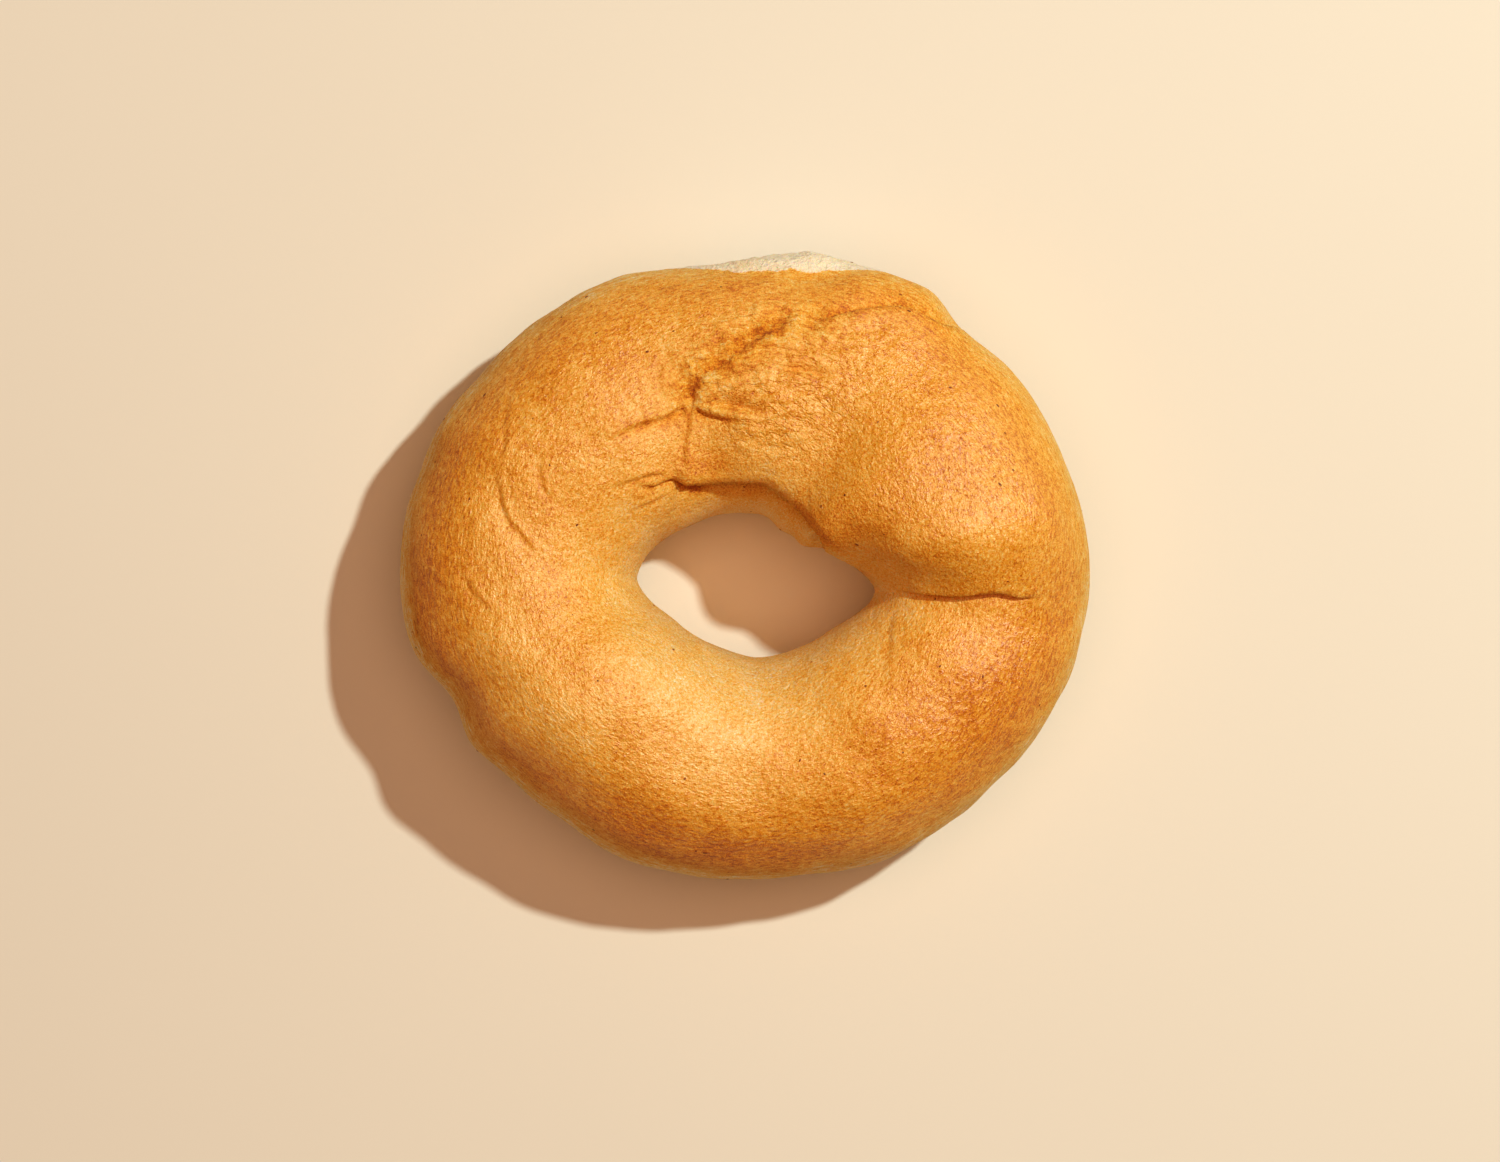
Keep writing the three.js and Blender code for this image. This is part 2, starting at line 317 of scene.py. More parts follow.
# %% Point on the dough
dough_group, given, out = new_group(
    "Point on the Dough", "GeometryNodeTree", {"Round": 0.0, "About": 0.0, **DOUGH_SIZES}, {"Place": "Vector"}
)
turn_round = given["Round"]
rim = use_group(dough_group, outline_group, {
    "Round": turn_round,
    "Half Width": given["Rim Half Width"],
    "Half Depth": given["Rim Half Depth"],
    "Swell": swells(turn_round, RIM_SWELLS),
    "Centre": RIM_CENTRE,
})["Place"]
hole = use_group(dough_group, outline_group, {
    "Round": turn_round,
    "Half Width": given["Hole Half Width"],
    "Half Depth": given["Hole Half Depth"],
    "Power": HOLE_POWER,
    "Turn": HOLE_TURN,
    "Swell": swells(turn_round, HOLE_SWELLS),
    "Centre": HOLE_CENTRE,
})["Place"]
crest = given["Crest"] + swells(turn_round, CREST_SWELLS)
waist = given["Waist"] + swells(turn_round, WAIST_SWELLS)
about = apply("RADIANS", given["About"])
cosine, sine = apply("COSINE", about), apply("SINE", about)
above = apply("GREATER_THAN", sine, 0.0)
power = given["Fullness Below"] + above * (given["Fullness Above"] - given["Fullness Below"])
reach = (apply("ABSOLUTE", cosine) ** power + apply("ABSOLUTE", sine) ** power) ** (-1.0 / power)
outward, upward = reach * cosine, reach * sine
under = waist + given["Sink"]
height = apply("MAXIMUM", waist + upward * (under + above * (crest - waist - under)), 0.0)
lean = swells(turn_round, LEAN_SWELLS, 1.0) * (1.0 - outward * outward) * apply("MAXIMUM", upward, 0.0)
place = hole + (rim - hole) * (0.5 + 0.5 * outward - lean)
feed(dough_group, out["Place"], place + combine(dough_group, 0.0, 0.0, height))
print("the ring's formula has", len(dough_group.nodes), "nodes")

# %% [markdown]
# ### The chart's net
#
# The net decides how fine a fold can be. Even squares would waste most of them on the smooth front, so the lines
# crowd together where the joint, the creases and the torn patch are. The section's lines are counted from the lip,
# which lets one line of the net follow the lip's edge exactly.

# %% The net of the chart
STATIONS = 436  # lines across the ring
SECTION_POINTS = 228  # points on each of them
CROWD_ROUND = [(92, 3.2, 36), (165, 0.9, 12), (20, 1.0, 12), (356, 4.5, 4.5), (203, 1.2, 8)]
CROWD_SECTION = [(0, 3.2, 13), (-45, 1.6, 30), (-98, 0.9, 20), (-139, 0.8, 30), (130, -0.6, 40)]


def swell_at(angle, places):
    """The same sum as the Swell group's, for the numbers that the script needs itself."""
    angle = np.asarray(angle, float)
    return sum(by * np.exp(-((((angle - at + 180) % 360) - 180) / over) ** 2) for at, by, over in places)


def crowded_angles(count, crowds):
    """Angles that divide a full turn, closer together where the swells say."""
    slices = np.linspace(0, 360, 3601)  # every tenth of a degree
    density = 1 + swell_at((slices[1:] + slices[:-1]) / 2, crowds)
    sums = np.concatenate([[0], np.cumsum(density)])
    return np.interp(np.arange(count) / count * sums[-1], sums, slices)


def ring_net(rounds, from_lip):
    """A net closed both ways, with its chart angles as x and y."""
    count, tall = len(rounds), len(from_lip)
    x, step = np.meshgrid(rounds, from_lip, indexing="ij")
    y = LIP_LEVEL + swell_at(x, LIP_SWELLS) + step
    i, j = np.meshgrid(np.arange(count), np.arange(tall), indexing="ij")
    right, up = (i + 1) % count, (j + 1) % tall
    faces = np.stack([i * tall + j, right * tall + j, right * tall + up, i * tall + up], -1).reshape(-1, 4)
    mesh = bpy.data.meshes.new("net")
    mesh.from_pydata(np.stack([x, y, 0 * x], -1).reshape(-1, 3).tolist(), [], faces.tolist())
    return mesh


def add_object(name, data):
    made = bpy.data.objects.new(name, data)
    bpy.context.scene.collection.objects.link(made)
    return made


net_mesh = ring_net(crowded_angles(STATIONS, CROWD_ROUND), crowded_angles(SECTION_POINTS, CROWD_SECTION))
net = add_object("net", net_mesh)
print("net:", len(net_mesh.polygons), "squares")

# %% [markdown]
# ## Folds
#
# A fold in dough has a high side and a low side. The high side keeps its height right up to a sharp edge and hangs
# over a little. The low side dives under it and comes up again further off. So one rule can make them all, from the
# thick lip over the hole to the finest wrinkle. It needs the distance to the fold's line, and which side of the line
# a point is on.
#
# The lip's edge can be a fifth of a millimetre wide, because a line of the net runs along it. Other folds cross the
# net, and an edge narrower than its squares would come out as steps, so theirs are wider.
#
# Each route is a curve on the chart. The group wraps it up with the dough, finds the nearest point of it for every
# point of the skin, and gives back how far to move. The low side is on the route's right hand.

# %% The fold rule
ROUTE_STEP = 0.25 * MM
EDGE_DROP = 3.0  # how suddenly the high side drops within one edge
CREASE_SPREAD = 1.3  # how far a crease's painted shade and dullness reach, in edges
FOLD_SIZES = {
    "Depth": MM,
    "Reach": 2 * MM,
    "Edge": MM,
    "Roll": 0.3 * MM,
    "Roll Reach": 2 * MM,
    "Tuck": 0.0,
    "Fade In": 0.3,
    "Fade Out": 0.3,
}
fold_group, given, out = new_group(
    "Fold",
    "GeometryNodeTree",
    {"Route": "Geometry", **DOUGH_SIZES, **FOLD_SIZES},
    {"Move": "Vector", "Crease": 0.0, "Under": 0.0, "Brim": 0.0, "Away": 0.0},
)
tree = fold_group
position = add_node(tree, "GeometryNodeInputPosition")
normal = add_node(tree, "GeometryNodeInputNormal")


def wrapped(chart_place, given):
    """Where a place on the chart lies on the dough."""
    x, y, _ = separate(chart_place)
    sizes = {name: given[name] for name in DOUGH_SIZES}
    return use_group(chart_place.tree, dough_group, {"Round": x, "About": y, **sizes})["Place"]


feeds = {"Geometry": given["Route"], "Position": wrapped(position, given)}
on_dough = add_node(tree, "GeometryNodeSetPosition", feeds)
rounded = add_node(tree, "GeometryNodeCurveSplineType", {"Curve": on_dough}, spline_type="CATMULL_ROM")
fine = add_node(tree, "GeometryNodeResampleCurve", {"Curve": rounded, "Length": ROUTE_STEP}, mode="LENGTH")
along_route = add_node(tree, "GeometryNodeSplineParameter", out="Factor")
feeds = {"Geometry": fine, "Name": "share", "Value": along_route}
fine = add_node(tree, "GeometryNodeStoreNamedAttribute", feeds, data_type="FLOAT", domain="POINT")
points = add_node(tree, "GeometryNodeCurveToPoints", {"Curve": fine}, mode="EVALUATED")
tangent = Field(tree, points.socket.node.outputs["Tangent"])
nearest = add_node(tree, "GeometryNodeSampleNearest", {"Geometry": points, "Sample Position": position})


def at_nearest(value, data_type):
    """A value of the route, read at the point of it that is nearest."""
    feeds = {"Geometry": points, "Value": value, "Index": nearest}
    return add_node(tree, "GeometryNodeSampleIndex", feeds, data_type=data_type)


route_share = add_node(tree, "GeometryNodeInputNamedAttribute", {"Name": "share"}, data_type="FLOAT")
share = at_nearest(route_share, "FLOAT")
offset = position - at_nearest(position, "FLOAT_VECTOR")
side = apply("NORMALIZE", apply("CROSS_PRODUCT", at_nearest(tangent, "FLOAT_VECTOR"), normal))
away = apply("LENGTH", offset)
is_low = apply("GREATER_THAN", apply("DOT_PRODUCT", offset, side), 0.0)
strength = smooth(share, 0.0, given["Fade In"]) * smooth(1.0 - share, 0.0, given["Fade Out"])
in_edges = away / given["Edge"]
in_rolls = away / given["Roll Reach"]
swollen = given["Roll"] * (1.0 - falloff(in_edges)) * bell(in_rolls)
low_lift = given["Depth"] * -falloff(away / given["Reach"])
high_lift = swollen - given["Depth"] * falloff(in_edges * in_edges * EDGE_DROP)
low_tuck = falloff(1.0 + in_edges)
high_tuck = bell(in_edges - 1.0)
lift = high_lift + is_low * (low_lift - high_lift)
tuck = given["Tuck"] * (high_tuck + is_low * (low_tuck - high_tuck))
feed(tree, out["Move"], normal * (strength * lift) + side * (strength * tuck))
# Crease marks the skin along a fold's line, where the crust gets painted shade and is dull.
feed(tree, out["Crease"], strength * falloff(away / (given["Edge"] * CREASE_SPREAD)))
# Under marks the low side under a fold, where the crust gets painted shade.
feed(tree, out["Under"], strength * is_low * falloff(away / given["Reach"]))
feed(tree, out["Brim"], strength * (1.0 - is_low) * high_tuck)
feed(tree, out["Away"], away)

# %% [markdown]
# ### Where the folds are
#
# The big folds are the ones that the solid model has too: the lip over the hole in its two thicknesses, the crease
# from the hole's right corner and the edges of the pressed tongue. The others are wrinkles a millimetre or less
# deep, which catch the light on the left shoulder and round the joint.


# %% Routes on the chart, and the size of each fold
def along_lip(start, end):
    """A route along the lip, from one angle round the hole down to another."""
    rounds = [*np.arange(start, end, -3.0), end]
    return [(angle, LIP_LEVEL + float(swell_at(angle, LIP_SWELLS))) for angle in rounds]


FOLDS = [  # name, (depth, reach, edge, roll, roll reach, tuck) in mm, (fade in, fade out), route
    ("lip over the hole", (2.4, 3.0, 0.18, 1.1, 5.0, 1.1), (0.06, 0.15), along_lip(129, 18)),
    ("thick right part of the lip", (2.8, 3.0, 0.16, 0.6, 4.5, 0.7), (0.5, 0.15), along_lip(98, 18)),
    ("crease where the lip begins", (0.9, 1.6, 0.8, 0.2, 1.6, 0.2), (0.5, 0.1),
     [(142.6, 118), (139.6, 123), (136.3, 127), (131, 128), (125, 130)]),
    ("crease from the right corner", (1.3, 1.7, 0.45, 0.4, 2.6, 0.35), (0.3, 0.25),
     [(357.5, 149), (356.7, 136), (355.5, 117), (355.3, 106), (356.3, 92), (356.6, 82), (355.5, 70), (356.2, 58)]),
    ("upper edge of the tongue", (1.7, 1.8, 0.75, 0.8, 2.4, 0.4), (0.3, 0.3),
     [(48.5, -5), (49.3, 15), (51.4, 29), (54.3, 36), (59.3, 40), (63.6, 45), (68.8, 51), (74.3, 56), (78.4, 58)]),
    ("end of the tongue", (0.5, 2.4, 1.6, 0.2, 3, 0), (0.2, 0.1),
     [(78, 58), (85, 64), (91, 71), (98, 79), (104, 84), (107.5, 91), (109.8, 99)]),
    ("left edge of the tongue", (0.4, 1.2, 0.7, 0.4, 1.4, 0), (0.2, 0.15),
     [(107.5, 93), (109.8, 99), (113.6, 108), (118, 116), (123, 126)]),
    ("wrinkle into the lip", (0.6, 1.0, 0.6, 0.3, 1.2, 0), (0.5, 0.2),
     [(149.3, 111), (141.7, 117), (136, 120), (129, 124)]),
    ("lower wrinkle into the lip", (0.4, 0.9, 0.6, 0.2, 1.0, 0), (0.5, 0.3),
     [(152, 128), (146, 132), (140, 134), (134, 134)]),
    ("wrinkle left of the tongue", (0.9, 1.4, 0.7, 0.35, 1.8, 0), (0.5, 0.1),
     [(139, 96), (134.8, 97), (126.4, 99), (118.5, 101), (110.2, 98)]),
    ("wrinkle by the left edge", (0.9, 1.2, 0.7, 0.3, 1.4, 0), (0.15, 0.4),
     [(108.8, 98), (106.6, 103), (99.8, 106), (93, 107)]),
    ("wrinkle across the tongue", (1.0, 1.2, 0.8, 0.3, 1.6, 0), (0.4, 0.3),
     [(82, 101), (86, 102), (95.6, 100), (102.8, 98), (106.1, 96)]),
    ("wrinkle on the crest", (0.9, 1.2, 0.8, 0.3, 1.6, 0), (0.4, 0.4),
     [(67, 82), (71.7, 81), (79, 81), (84.5, 85)]),
    ("fold along the left rim", (0.6, 1.6, 1.2, 0.3, 1.6, 0), (0.4, 0.3),
     [(182, 30), (190, 28), (194.4, 26), (198.7, 23), (201.8, 16), (203.5, 4)]),
    ("crease on the left shoulder", (0.5, 0.9, 0.4, 0.35, 1.0, 0), (0.6, 0.3),
     [(153.7, 60), (158.8, 70), (165.5, 80), (169.8, 92), (175.1, 103)]),
    ("short crease on the left shoulder", (0.35, 0.8, 0.4, 0.25, 0.9, 0), (0.4, 0.4),
     [(149.3, 79), (156.1, 90), (158.8, 99)]),
    ("fine crease on the left shoulder", (0.3, 0.7, 0.4, 0.25, 0.9, 0), (0.4, 0.4),
     [(142.2, 47), (150.5, 63), (157.2, 70)]),
    ("crease under the left shoulder", (0.35, 0.8, 0.4, 0.25, 0.9, 0), (0.4, 0.3),
     [(177.8, 63), (184.2, 70), (189.1, 80)]),
    ("drawn line below the right corner", (0.3, 1.8, 1.4, 0.1, 1.4, 0), (0.3, 0.5),
     [(348.9, 141), (332.6, 123), (316.8, 105)]),
]
SCAR_ROUTE = [(76, 56), (85, 64), (91, 71), (98, 79), (104, 84), (107.5, 91)]


def route_curve(name, route):
    """A curve with a route's chart angles as x and y."""
    curve = bpy.data.curves.new(name, "CURVE")
    curve.dimensions = "3D"
    spline = curve.splines.new("POLY")
    spline.points.add(len(route) - 1)
    for point, (x, y) in zip(spline.points, route):
        point.co = (x, y, 0.0, 1.0)
    return add_object(name, curve)


routes = {name: route_curve(name, route) for name, _, _, route in FOLDS}
routes["scar"] = route_curve("scar", SCAR_ROUTE)
print(len(routes), "routes")

# %% [markdown]
# ### Unevenness
#
# Under the folds the skin is never quite smooth. Wide soft lumps come from the hands. They are a sum of sine waves,
# so that the solid model can have the very same ones. What is finer comes from noise: the crags of the scar where
# the tongue's end was pressed home, the puckers and ridges of the skin, and the ragged crumb of the torn patch.

# %% Uneven waves
uneven_group, given, out = new_group(
    "Unevenness", "GeometryNodeTree", {"Place": (0.0, 0.0, 0.0), "Wave": 0.02}, {"Height": 0.0}
)
x, y, z = separate(given["Place"])
k = math.tau / given["Wave"]
# The slants and shifts are free choices. They keep the waves from lining up.
broad = apply("SINE", k * (x + 0.4 * y) + 1.0) * apply("SINE", k * (y - 0.3 * z) + 2.0)
finer = apply("SINE", 1.7 * k * (z - 0.5 * x)) * apply("SINE", 1.6 * k * (x + y))
feed(uneven_group, out["Height"], 0.6 * broad + 0.4 * finer)

# %% [markdown]
# ## The whole tree
#
# The main tree wraps the net, asks every fold how far it moves the skin, adds the uneven waves and the torn patch,
# and moves each point once. What the crust has to know later, such as where a crease or bare crumb is, is stored on
# the mesh by name.

# %% The bagel's tree
TEAR = {"Tear Round": 84.0, "Tear Half Span": 24.0, "Tear About": -4.0, "Tear Half Rise": 36.0}
TEAR_SWELLS = [(77, 1.9, 6.5), (89, 0.9, 12)]
RELIEF_SIZES = {
    "Lumps": 0.3 * MM,
    "Puckers": 0.22 * MM,
    "Scar Half Width": 5 * MM,
    "Crag": 0.6 * MM,
    "Ragged": 0.35 * MM,
}
LUMP_WAVE = 24 * MM
PRESSED_AT, PRESSED_FAR = (84.0, 84.0), (34.0, 48.0)  # the pressed skin's middle and reach, as (round, about)
# The depth, tuck and roll in mm at which a fold's marks have their full strength.
FULL_MARKS = {"Crease": 1.2, "Under": 1.3, "Brim": 0.6}
# Noise strays only a little from its middle, so each kind is stretched to fill its height.
HOLE_GAIN, CRAG_GAIN, RIDGE_GAIN, PRESSED_PUCKER_GAIN = 4.0, 5.0, 6.0, 1.5
TABLE_GAP = 1e-6  # what is lower than this lies on the table, and stays flat

bagel_tree, given, out = new_group(
    "Bagel",
    "GeometryNodeTree",
    {"Net": "Geometry", **DOUGH_SIZES, **RELIEF_SIZES, **TEAR, "Crust": "Material"},
    {"Geometry": "Geometry"},
)
tree = bagel_tree
position = add_node(tree, "GeometryNodeInputPosition")
normal = add_node(tree, "GeometryNodeInputNormal")
dough_sizes = {name: given[name] for name in DOUGH_SIZES}


def store(geometry, name, value):
    """Keeps a value of the skin on the mesh, by name."""
    feeds = {"Geometry": geometry, "Name": name, "Value": value}
    return add_node(tree, "GeometryNodeStoreNamedAttribute", feeds, data_type="FLOAT", domain="POINT")


def stored(name):
    return add_node(tree, "GeometryNodeInputNamedAttribute", {"Name": name}, data_type="FLOAT")


def at_fold(name, sizes):
    route = add_node(tree, "GeometryNodeObjectInfo", {"Object": routes[name]}, "Geometry")
    return use_group(tree, fold_group, {"Route": route, **dough_sizes, **sizes})


def unevenness(wave):
    return use_group(tree, uneven_group, {"Place": position, "Wave": wave})["Height"]


chart_x, chart_y, _ = separate(position)
skin = store(given["Net"], "round", chart_x)
skin = store(skin, "about", apply("WRAP", chart_y, 270.0, -90.0))
skin = add_node(tree, "GeometryNodeSetPosition", {"Geometry": skin, "Position": wrapped(position, given)})

# %% Folds, scar and torn patch in the tree
move = None
# The marks of the folds. Crease and Under feed the crust's painted shade.
marks = {"Crease": 0.0, "Under": 0.0, "Brim": 0.0}
for name, sizes, fades, _ in FOLDS:
    values = [*(size * MM for size in sizes), *fades]
    fold = at_fold(name, dict(zip(FOLD_SIZES, values)))
    move = fold["Move"] + (move or (0.0, 0.0, 0.0))
    depth, _, _, roll, _, tuck = sizes
    for mark, size in {"Crease": depth, "Under": tuck, "Brim": roll}.items():
        marks[mark] = apply("MAXIMUM", fold[mark] * min(1.0, size / FULL_MARKS[mark]), marks[mark])

scar = bell(at_fold("scar", {})["Away"] / given["Scar Half Width"])

sideways = angle_past(stored("round"), given["Tear Round"], given["Tear Half Span"])
rise = angle_past(stored("about"), given["Tear About"], given["Tear Half Rise"])
bare = oval_patch(sideways, rise, 0.6)
in_mm = position * (1 / MM)
holes = noise(in_mm, 0.35, 4.0, 0.7) - 0.5
torn_out = bare * (swells(stored("round"), TEAR_SWELLS) + given["Ragged"] * (holes * HOLE_GAIN))

aside = angle_past(stored("round"), PRESSED_AT[0], PRESSED_FAR[0])
upwards = (stored("about") - PRESSED_AT[1]) / PRESSED_FAR[1]
pressed = oval_patch(aside, upwards, 0.5)
puckers = noise(in_mm, 0.34, 3.0, 0.6) - 0.5
crags = noise(in_mm, 0.3, 4.0, 0.65) - 0.5
relief = given["Lumps"] * unevenness(LUMP_WAVE) + scar * given["Crag"] * crags * CRAG_GAIN + torn_out
ridges = noise(in_mm, 0.55, 3.0, 0.6, (0.3, 1.0, 1.0)) - 0.5
puckered = puckers * (1.0 + PRESSED_PUCKER_GAIN * pressed) + ridges * RIDGE_GAIN * pressed
relief = relief + given["Puckers"] * puckered
on_table = apply("LESS_THAN", separate(position)[2], TABLE_GAP)
moved = (move + normal * relief) * (1.0 - on_table)
raised = apply("DOT_PRODUCT", moved, normal) * (1 / MM)
for mark, value in marks.items():
    skin = store(skin, mark.lower(), value)
for name, value in {"scar": scar, "bare": bare, "raised": raised, "pressed": pressed}.items():
    skin = store(skin, name, value)
skin = add_node(tree, "GeometryNodeSetPosition", {"Geometry": skin, "Offset": moved})
x, y, z = separate(position)
level = combine(tree, x, y, apply("MAXIMUM", z, 0.0))
skin = add_node(tree, "GeometryNodeSetPosition", {"Geometry": skin, "Position": level})
skin = add_node(tree, "GeometryNodeSetShadeSmooth", {"Geometry": skin})
skin = add_node(tree, "GeometryNodeRealizeInstances", {"Geometry": skin})
skin = add_node(tree, "GeometryNodeSetMaterial", {"Geometry": skin, "Material": given["Crust"]})
feed(tree, out["Geometry"], skin)
print("the bagel's tree has", len(tree.nodes), "nodes and", len(FOLDS), "folds")

# %% [markdown]
# ### From net to skin
#
# The tree hangs on the net as a modifier. We set its inputs by their identifiers, let Blender work it out once, and
# keep the result as a plain mesh. The net and the routes have then done their work, and are taken away.


# %% Run the tree
def run_tree(tree, carrier, inputs):
    """Hangs a tree on an object, sets its inputs and gives back the mesh that it makes."""
    modifier = carrier.modifiers.new(tree.name, "NODES")
    modifier.node_group = tree
    for item in tree.interface.items_tree:
        if item.in_out == "INPUT" and item.name in inputs:
            modifier[item.identifier] = inputs[item.name]
    carrier.update_tag()
    seen = bpy.context.evaluated_depsgraph_get()
    worked_out = carrier.evaluated_get(seen)
    mesh = bpy.data.meshes.new_from_object(worked_out, preserve_all_data_layers=True, depsgraph=seen)
    carrier.modifiers.remove(modifier)
    return mesh


crust_material = bpy.data.materials.new("baked_crust")
skin_mesh = run_tree(bagel_tree, net, {**DOUGH_SIZES, **RELIEF_SIZES, **TEAR, "Crust": crust_material})
for made in (net, *routes.values()):
    bpy.data.objects.remove(made)

corners = np.array([vertex.co for vertex in skin_mesh.vertices])
middle = (corners.min(0) + corners.max(0)) / 2
cad_middle = (cad_low + cad_high) / 2
skin_mesh.transform(Matrix.Translation((cad_middle.x - middle[0], cad_middle.y - middle[1], 0)))
bagel = add_object("bagel_crust", skin_mesh)
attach(bagel, "root")
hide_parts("bagel")
print("skin:", len(skin_mesh.polygons), "faces,", np.round((corners.max(0) - corners.min(0)) / MM, 2), "mm")

# %% [markdown]
# ## The crust
#
# Crust colour is mostly a matter of one thing: how far that spot has baked. Raw dough is cream, then straw, gold,
# amber and brown. So the material first works out one number, the bake, and a colour ramp turns it into a colour.
# High shoulders are further on than the walls of the hole. The creases and the skin under the lip are darkened more,
# as painted shade. A paler band with fine lines runs round the outer wall, and the flat base is evenly baked.
# `BAKE_AND_PAINTED_LIGHT_PATCHES` lists patches where the bake is raised and lowered from the rule. Those marked in it
# are painted shade, on the side turned from the lamp and under the lip, and painted light, where the lamp falls.
#
# Every spot wavers from its neighbour in three sizes: clouds a centimetre or two wide, mottling a few millimetres
# wide, and a grain of a quarter millimetre. Streaks run round the ring, the way the rope of dough was rolled.
#
# The crest has a soft gloss. The outer wall, the hole, the creases and the scar are dull.


# %% Colours of baking
def colour(red, green, blue):
    """A colour as a screen shows it, 0 to 255, turned into the linear light that nodes work with."""
    shares = [part / 255 for part in (red, green, blue)]
    linear = [((share + 0.055) / 1.055) ** 2.4 if share > 0.04 else share / 12.92 for share in shares]
    return (*linear, 1.0)


BAKE_STOPS = [
    (0.0, colour(250, 239, 222)),
    (0.2, colour(243, 213, 152)),
    (0.4, colour(240, 189, 92)),
    (0.58, colour(231, 161, 38)),
    (0.76, colour(206, 119, 2)),
    (1.0, colour(162, 80, 0)),
]


def ramp(value, stops):
    node = add_node(value.tree, "ShaderNodeValToRGB", {0: value}).socket.node
    elements = node.color_ramp.elements
    while len(elements) < len(stops):
        elements.new(0.5)
    for element, (place, shade) in zip(elements, stops):
        element.position, element.color = place, shade
    return Field(value.tree, node.outputs["Color"])


def mix(factor, first, second, kind="RGBA"):
    """first where factor is 0, second where it is 1."""
    at = 6 if kind == "RGBA" else 2  # the node has a pair of sockets for each kind of value
    feeds = {0: factor, at: first, at + 1: second}
    node = add_node(factor.tree, "ShaderNodeMix", feeds, data_type=kind).socket.node
    return Field(factor.tree, next(out for out in node.outputs if out.enabled))


BAKE_AND_PAINTED_LIGHT_PATCHES = [  # (round, about), (how far round, how far about), bake
    # painted shade: the shoulders on the side turned from the lamp, lower left, left and bottom
    ((225, 44), (44, 26), 0.09),
    ((176, 44), (26, 24), 0.05),
    ((264, 46), (24, 24), 0.08),
    # painted shade: the right lobe's inner slope, turned from the lamp
    ((32, 132), (20, 22), 0.14),
    # painted shade: the lower right shoulder, partly turned from the lamp
    ((322, 60), (26, 40), 0.07),
    # painted light: the right lobe's slope down to the crease, which the lamp leaves dark
    ((2, 92), (12, 32), -0.06),
    ((112, 125), (14, 6), 0.16),
    # painted highlight: a paler patch for the sheen on the lower left lobe
    ((213, 64), (24, 24), -0.15),
    # painted light: the hole's wall at the lower left, where the lamp falls on it
    ((250, 126), (50, 30), -0.14),
    # painted shade: dark spots in the crevices at the lip's two ends
    ((122, 141), (4, 4), 0.35),
    ((61, 143), (5, 5), 0.35),
    # painted shade: a darker band under the lip
    ((90, 146), (34, 7), 0.22),
    ((40, 158), (16, 9), -0.24),
    ((88, 170), (44, 12), -0.08),
    # painted shade: under the thick right part of the lip
    ((44, 150), (18, 16), 0.20),
    ((338, 78), (20, 30), 0.12),
    # painted light: the saddle at the hole's right corner, in the right lobe's shade
    ((350, 134), (10, 14), -0.08),
    ((33, 74), (22, 28), 0.07),
]

# %% Mottling, a pattern that several finishes share
mottle_group, given, out = new_group(
    "Mottling",
    "ShaderNodeTree",
    {"Place": (0.0, 0.0, 0.0), "Cloud": 0.07, "Mottle": 0.3, "Grain": 2.0},
    {"Clouds": 0.0, "Mottles": 0.0, "Grains": 0.0},
)
for name, size, detail in (("Clouds", "Cloud", 2.0), ("Mottles", "Mottle", 3.0), ("Grains", "Grain", 2.0)):
    feed(mottle_group, out[name], noise(given["Place"], given[size], detail, 0.65) * 2.0 - 1.0)

# %% The crust's material
crust_material.use_nodes = True
tree = crust_material.node_tree
finish = tree.nodes["Principled BSDF"]


def surface(name):
    return add_node(tree, "ShaderNodeAttribute", out="Fac", attribute_name=name)


MEAN_RADIUS = 36.0  # turns an angle round the ring into millimetres along it
place = add_node(tree, "ShaderNodeTexCoord", out="Object") * (1 / MM)
x, y, z = separate(place)
from_middle = apply("SQRT", x * x + y * y)
along = combine(tree, apply("ARCTAN2", y, x) * MEAN_RADIUS, from_middle, z)
around, about, crease, under, brim = [surface(name) for name in ("round", "about", "crease", "under", "brim")]
scar, bare, raised, pressed = [surface(name) for name in ("scar", "bare", "raised", "pressed")]

# Patterns: noises by place, or drawn out along the ring.
pattern = use_group(tree, mottle_group, {"Place": place, "Mottle": 0.30, "Grain": 4.0})
clouds, mottles, grains = pattern["Clouds"], pattern["Mottles"], pattern["Grains"]
strands = noise(along, 2.4, 3.0, 0.65, (0.5, 1.0, 1.0))
streaks = strands * 2.0 - 1.0
rim_lines = noise(along, 1.5, 2.0, 0.6, (0.09, 1.0, 1.6)) * 2.0 - 1.0
rim_lines = rim_lines * (0.25 + 0.75 * smooth(about, 0.0, 20.0))
pores = smooth(noise(place, 1.5, 1.0, 0.4), 0.72, 0.80)
smears = smooth(noise(along, 0.5, 3.0, 0.65, (0.45, 1.0, 1.0)), 0.42, 0.62)
wrinkles = noise(along, 0.45, 3.0, 0.6, (0.4, 1.0, 1.0))
lines = 1.0 - smooth(apply("ABSOLUTE", wrinkles - 0.5), 0.0, 0.06)

# Places: each is 1 where it holds and 0 elsewhere. Angles are in degrees and heights in millimetres.
inside = smooth(about, 95.0, 165.0)
shoulder = smooth(about, 15.0, 42.0) * (1.0 - smooth(about, 42.0, 85.0))
low_wall = 1.0 - smooth(z, 4.0, 20.0)
base = 1.0 - smooth(z + clouds * 1.5 + mottles, 0.5, 3.0)
rim_band = 1.0 - smooth(about + mottles * 6.0, 14.0, 40.0)
rim_band = rim_band * (1.0 - bell(angle_past(around, 50.0, 75.0)) * 0.6)
# Painted shade on the low side under the lips and the tucked folds.
painted_shade_under_folds = smooth(under, 0.3, 0.85)

